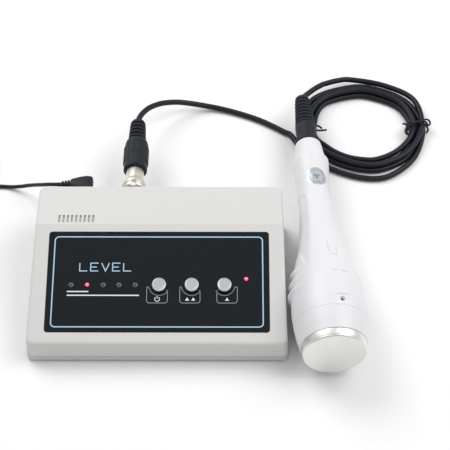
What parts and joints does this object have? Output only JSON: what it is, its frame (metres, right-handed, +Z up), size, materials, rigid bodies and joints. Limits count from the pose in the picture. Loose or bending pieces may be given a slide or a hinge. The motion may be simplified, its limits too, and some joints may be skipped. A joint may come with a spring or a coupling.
{
  "type": "ultrasound therapy device",
  "caption": "Desktop ultrasound therapy console with sloped front panel, silver push buttons, bayonet output lead and a white handpiece with a flat round treatment head.",
  "frame": {"origin": "on the table, under the centre of the console and handpiece together without their cords", "axes": "+X to the user's right, +Y away from the user towards the rear of the console, +Z up"},
  "size_m": [0.3606, 0.2456, 0.0449],
  "materials": {
    "case_plastic": "light grey moulded case, fine satin texture",
    "base_plastic": "light grey base tray",
    "handpiece_plastic": "cool white, semi-gloss",
    "overlay_black": "glossy black printed overlay",
    "silver_cap": "satin silver plated plastic caps",
    "nickel_plate": "nickel plated metal",
    "head_aluminium": "fine turned and anodised",
    "dark_aluminium": "black anodised",
    "screw_steel": "plated steel",
    "cord_black": "soft black cord jacket and moulded plugs",
    "black_plastic": "black moulded plastic",
    "foot_rubber": "matt black rubber",
    "light_lit": "lit red lens",
    "light_unlit": "unlit smoky lens",
    "board_green": "green circuit board",
    "ferrite": "dark ferrite core and winding",
    "capacitor_sleeve": "blue shrink sleeve",
    "ribbon_grey": "grey ribbon cable",
    "piezo_ceramic": "fired ceramic disc with thin electrodes"
  },
  "bodies": {
    "console": {"console_top_cover": "case_plastic", "console_base": "base_plastic", "rear_panel": "case_plastic", "front_overlay": "overlay_black", "on_off_switch": "black_plastic", "fast_up_switch": "black_plastic", "slow_up_switch": "black_plastic", "level_light_1": "light_unlit", "level_light_2": "light_lit", "level_light_3": "light_unlit", "level_light_4": "light_unlit", "level_light_5": "light_unlit", "power_light": "light_lit", "control_board": "board_green", "main_board": "board_green", "transformer": "ferrite", "heatsink": "dark_aluminium", "power_transistor": "black_plastic", "filter_capacitor": "capacitor_sleeve", "ribbon_cable": "ribbon_grey", "foot_front_left": "foot_rubber", "foot_front_right": "foot_rubber", "foot_rear_left": "foot_rubber", "foot_rear_right": "foot_rubber", "case_screw_front_left": "screw_steel", "case_screw_front_right": "screw_steel", "case_screw_rear_left": "screw_steel", "case_screw_rear_right": "screw_steel", "output_socket": "nickel_plate", "output_socket_nut": "nickel_plate", "output_plug": "cord_black", "supply_socket": "black_plastic", "supply_socket_nut": "nickel_plate", "supply_plug": "cord_black", "supply_plug_barrel": "nickel_plate", "supply_cord_lead": "cord_black", "supply_cord_coil": "cord_black", "supply_cord_tail": "cord_black", "power_adapter": "black_plastic", "adapter_blade_left": "nickel_plate", "adapter_blade_right": "nickel_plate", "handpiece_cable_lead": "cord_black", "handpiece_cable_coil": "cord_black", "handpiece_cable_tail": "cord_black", "coil_tie": "cord_black"},
    "on_off_key": {"on_off_button": "silver_cap"},
    "fast_up_key": {"fast_up_button": "silver_cap"},
    "slow_up_key": {"slow_up_button": "silver_cap"},
    "coupling_sleeve": {"output_plug_sleeve": "nickel_plate"},
    "handpiece": {"head_cup": "head_aluminium", "piezo_disc": "piezo_ceramic", "head_seal": "foot_rubber", "nose_collar": "handpiece_plastic", "handpiece_upper_shell": "handpiece_plastic", "handpiece_lower_shell": "handpiece_plastic", "shell_screw": "screw_steel", "matching_board": "board_green", "matching_inductor": "ferrite", "handpiece_boot": "cord_black"}
  },
  "joints": [
    {"name": "press_on_off", "type": "slide", "parent": "console", "child": "on_off_key", "axis": [0, 0.2834, -0.959], "range_m": [0, 0.001], "stiffness_N_per_m": 900, "springref_m": -0.0004},
    {"name": "press_fast_up", "type": "slide", "parent": "console", "child": "fast_up_key", "axis": [0, 0.2834, -0.959], "range_m": [0, 0.001], "stiffness_N_per_m": 900, "springref_m": -0.0004},
    {"name": "press_slow_up", "type": "slide", "parent": "console", "child": "slow_up_key", "axis": [0, 0.2834, -0.959], "range_m": [0, 0.001], "stiffness_N_per_m": 900, "springref_m": -0.0004},
    {"name": "turn_coupling_sleeve", "type": "hinge", "parent": "console", "child": "coupling_sleeve", "pos_m": [-0.04104, 0.02181, 0.024], "axis": [0, 1, 0], "range_deg": [-90, 0]},
    {"name": "lift_handpiece", "type": "slide", "parent": "console", "child": "handpiece", "axis": [0, 0, 1], "range_m": [0, 0.08]}
  ]
}
